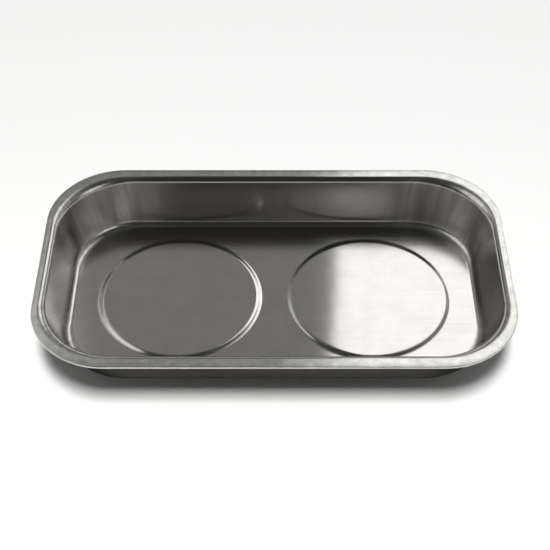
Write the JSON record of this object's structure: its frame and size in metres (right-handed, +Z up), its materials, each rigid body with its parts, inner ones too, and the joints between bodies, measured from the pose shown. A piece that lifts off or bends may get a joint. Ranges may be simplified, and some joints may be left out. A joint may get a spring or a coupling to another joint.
{
  "type": "magnetic parts tray",
  "caption": "Rectangular pressed steel dish with rounded corners, a flat rim and raised floor discs over booted ring magnets; holds loose steel parts.",
  "frame": {"origin": "midway between the two boots, on the surface that they stand on", "axes": "+X along the length of the tray, +Y across it to the back, +Z up out of the dish"},
  "size_m": [0.24, 0.14, 0.04],
  "materials": {
    "stainless_sheet": "satin",
    "zinc_fastener": "satin",
    "zinc_plate": "satin",
    "ferrite": "matte",
    "foam": "matte",
    "nylon": "satin",
    "boot_rubber": "matte"
  },
  "bodies": {
    "root": {"dish": "stainless_sheet", "left_weld_stud": "zinc_fastener", "right_weld_stud": "zinc_fastener", "left_foam_pad": "foam", "right_foam_pad": "foam", "left_ring_magnet": "ferrite", "right_ring_magnet": "ferrite", "left_backing_plate": "zinc_plate", "right_backing_plate": "zinc_plate", "left_washer": "zinc_fastener", "right_washer": "zinc_fastener", "left_lock_nut": "zinc_fastener", "right_lock_nut": "zinc_fastener", "left_nut_insert": "nylon", "right_nut_insert": "nylon", "left_rubber_boot": "boot_rubber", "right_rubber_boot": "boot_rubber"}
  },
  "joints": []
}
